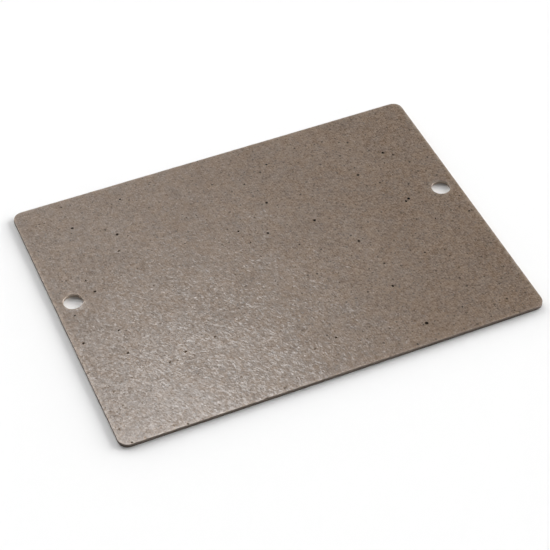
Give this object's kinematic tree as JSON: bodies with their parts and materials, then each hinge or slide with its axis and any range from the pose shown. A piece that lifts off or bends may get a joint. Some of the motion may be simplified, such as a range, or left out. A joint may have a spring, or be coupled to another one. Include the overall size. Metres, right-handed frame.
{
  "type": "mica sheet waveguide cover",
  "caption": "Thin flat rectangular sheet of pressed mica paper with rounded corners and a punched fastening hole near each short edge; shields a microwave oven's waveguide outlet.",
  "frame": {"origin": "middle of the underside, on the surface that the sheet lies on", "axes": "+X along the long edges, +Y along the short edges towards the long edge that the holes are nearer to, +Z out of the upper face"},
  "size_m": [0.108, 0.08, 0.001],
  "materials": {
    "mica": "pressed mica paper: brownish grey, fine pebbled flake grain, silky satin sheen, small dark specks"
  },
  "bodies": {
    "root": {"mica_sheet": "mica"}
  },
  "joints": []
}
